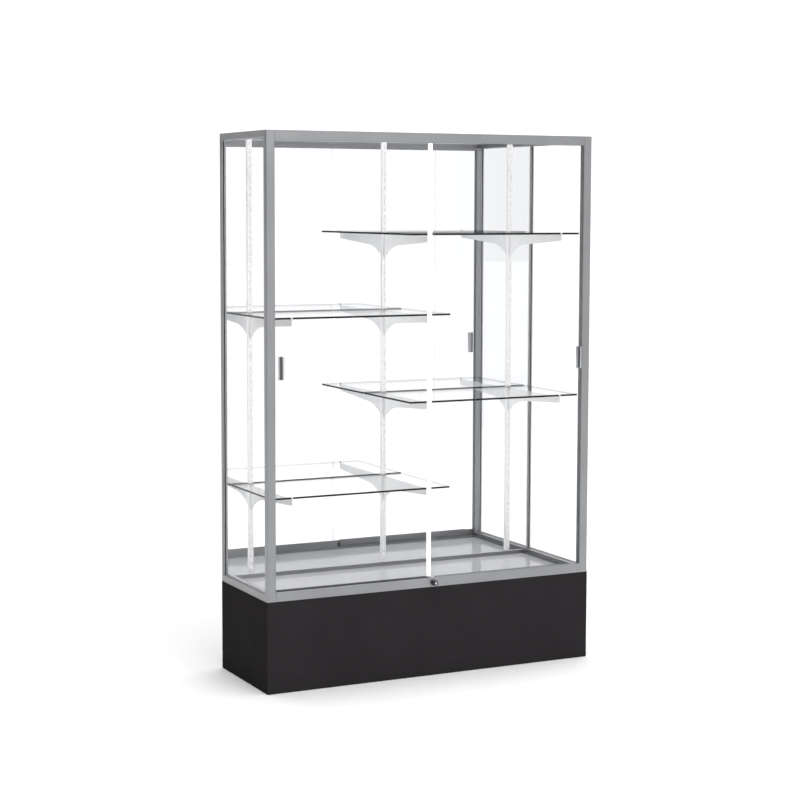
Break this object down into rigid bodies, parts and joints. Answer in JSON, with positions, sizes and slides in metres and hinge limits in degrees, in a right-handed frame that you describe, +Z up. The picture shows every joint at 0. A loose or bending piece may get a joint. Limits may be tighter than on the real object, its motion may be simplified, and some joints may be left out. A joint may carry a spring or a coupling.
{
  "type": "display case",
  "caption": "Floor-standing glass display case: black plinth, aluminium frame, by-pass sliding glass doors with a plunger lock, mirror back, staggered glass shelves on slotted standards.",
  "frame": {"origin": "on the floor, under the middle of the plinth", "axes": "+Z up, +X to the viewer's right, the sliding doors face -Y, the mirror back faces +Y"},
  "size_m": [1.2192, 0.4227, 1.8288],
  "materials": {
    "black_laminate": "black melamine laminate, satin",
    "grey_laminate": "glossy light grey laminate",
    "satin_aluminium": "satin anodised extrusion",
    "clear_glass": "clear tempered glass with polished edges",
    "mirror_glass": "silvered mirror",
    "grey_hardboard": "grey hardboard backing",
    "white_enamel": "white baked enamel on steel",
    "track_plastic": "extruded grey plastic",
    "roller_nylon": "natural nylon",
    "steel_pin": "plain bright steel",
    "polished_chrome": "polished chrome plate"
  },
  "bodies": {
    "root": {"plinth_front": "black_laminate", "plinth_back": "black_laminate", "plinth_left": "black_laminate", "plinth_right": "black_laminate", "plinth_brace": "black_laminate", "plinth_top": "black_laminate", "deck_panel": "grey_laminate", "post_front_left": "satin_aluminium", "post_front_right": "satin_aluminium", "post_rear_left": "satin_aluminium", "post_rear_right": "satin_aluminium", "rail_bottom_front": "satin_aluminium", "rail_bottom_left": "satin_aluminium", "rail_bottom_right": "satin_aluminium", "rail_bottom_rear": "satin_aluminium", "rail_top_front": "satin_aluminium", "rail_top_left": "satin_aluminium", "rail_top_right": "satin_aluminium", "rail_top_rear": "satin_aluminium", "track_top": "satin_aluminium", "glass_left": "clear_glass", "glass_right": "clear_glass", "glass_top": "clear_glass", "mirror_back": "mirror_glass", "back_panel": "grey_hardboard", "standard_left": "white_enamel", "standard_centre": "white_enamel", "standard_right": "white_enamel", "bracket_lower_left_centre": "white_enamel", "bracket_lower_left_left": "white_enamel", "bracket_lower_right_centre": "white_enamel", "bracket_lower_right_right": "white_enamel", "bracket_upper_left_centre": "white_enamel", "bracket_upper_left_left": "white_enamel", "bracket_upper_right_centre": "white_enamel", "bracket_upper_right_right": "white_enamel", "track_bottom": "track_plastic", "lock_barrel": "polished_chrome"},
    "door_left": {"door_glass_left": "clear_glass", "door_shoe_left": "satin_aluminium", "door_pull_left": "satin_aluminium", "axle_left_1": "steel_pin", "axle_left_2": "steel_pin", "lock_keeper": "steel_pin"},
    "door_right": {"door_glass_right": "clear_glass", "door_shoe_right": "satin_aluminium", "door_pull_right": "satin_aluminium", "axle_right_1": "steel_pin", "axle_right_2": "steel_pin"},
    "lock_plunger": {"lock_plunger": "polished_chrome"},
    "lock_core": {"lock_core": "steel_pin"},
    "roller_left_1": {"roller_left_1": "roller_nylon"},
    "roller_left_2": {"roller_left_2": "roller_nylon"},
    "roller_right_1": {"roller_right_1": "roller_nylon"},
    "roller_right_2": {"roller_right_2": "roller_nylon"},
    "shelf_lower_left": {"shelf_lower_left": "clear_glass"},
    "shelf_lower_right": {"shelf_lower_right": "clear_glass"},
    "shelf_upper_left": {"shelf_upper_left": "clear_glass"},
    "shelf_upper_right": {"shelf_upper_right": "clear_glass"}
  },
  "joints": [
    {"name": "door_right_slide", "type": "slide", "parent": "root", "child": "door_right", "axis": [-1, 0, 0], "range_m": [0, 0.55]},
    {"name": "door_left_slide", "type": "slide", "parent": "root", "child": "door_left", "axis": [1, 0, 0], "range_m": [0, 0.55]},
    {"name": "roller_right_1_spin", "type": "hinge", "parent": "door_right", "child": "roller_right_1", "pos_m": [0.058, -0.1956, 0.3169], "axis": [0, -1, 0], "continuous": true},
    {"name": "roller_right_2_spin", "type": "hinge", "parent": "door_right", "child": "roller_right_2", "pos_m": [0.496, -0.1956, 0.3169], "axis": [0, -1, 0], "continuous": true},
    {"name": "roller_left_1_spin", "type": "hinge", "parent": "door_left", "child": "roller_left_1", "pos_m": [-0.058, -0.1821, 0.3169], "axis": [0, 1, 0], "continuous": true},
    {"name": "roller_left_2_spin", "type": "hinge", "parent": "door_left", "child": "roller_left_2", "pos_m": [-0.496, -0.1821, 0.3169], "axis": [0, 1, 0], "continuous": true},
    {"name": "lock_push", "type": "slide", "parent": "root", "child": "lock_plunger", "axis": [0, 1, 0], "range_m": [0, 0.0115], "stiffness_N_per_m": 150, "springref_m": -0.01},
    {"name": "lock_key_turn", "type": "hinge", "parent": "lock_plunger", "child": "lock_core", "pos_m": [0, -0.2195, 0.319], "axis": [0, 1, 0], "range_deg": [0, 90]},
    {"name": "shelf_lower_left_lift", "type": "slide", "parent": "root", "child": "shelf_lower_left", "axis": [0, 0, 1], "range_m": [0, 0.03]},
    {"name": "shelf_lower_right_lift", "type": "slide", "parent": "root", "child": "shelf_lower_right", "axis": [0, 0, 1], "range_m": [0, 0.03]},
    {"name": "shelf_upper_left_lift", "type": "slide", "parent": "root", "child": "shelf_upper_left", "axis": [0, 0, 1], "range_m": [0, 0.03]},
    {"name": "shelf_upper_right_lift", "type": "slide", "parent": "root", "child": "shelf_upper_right", "axis": [0, 0, 1], "range_m": [0, 0.03]}
  ],
  "couplings": [
    {"joint": "roller_right_1_spin", "follows": "door_right_slide", "rad_per_m": 181.82},
    {"joint": "roller_right_2_spin", "follows": "door_right_slide", "rad_per_m": 181.82},
    {"joint": "roller_left_1_spin", "follows": "door_left_slide", "rad_per_m": 181.82},
    {"joint": "roller_left_2_spin", "follows": "door_left_slide", "rad_per_m": 181.82}
  ]
}
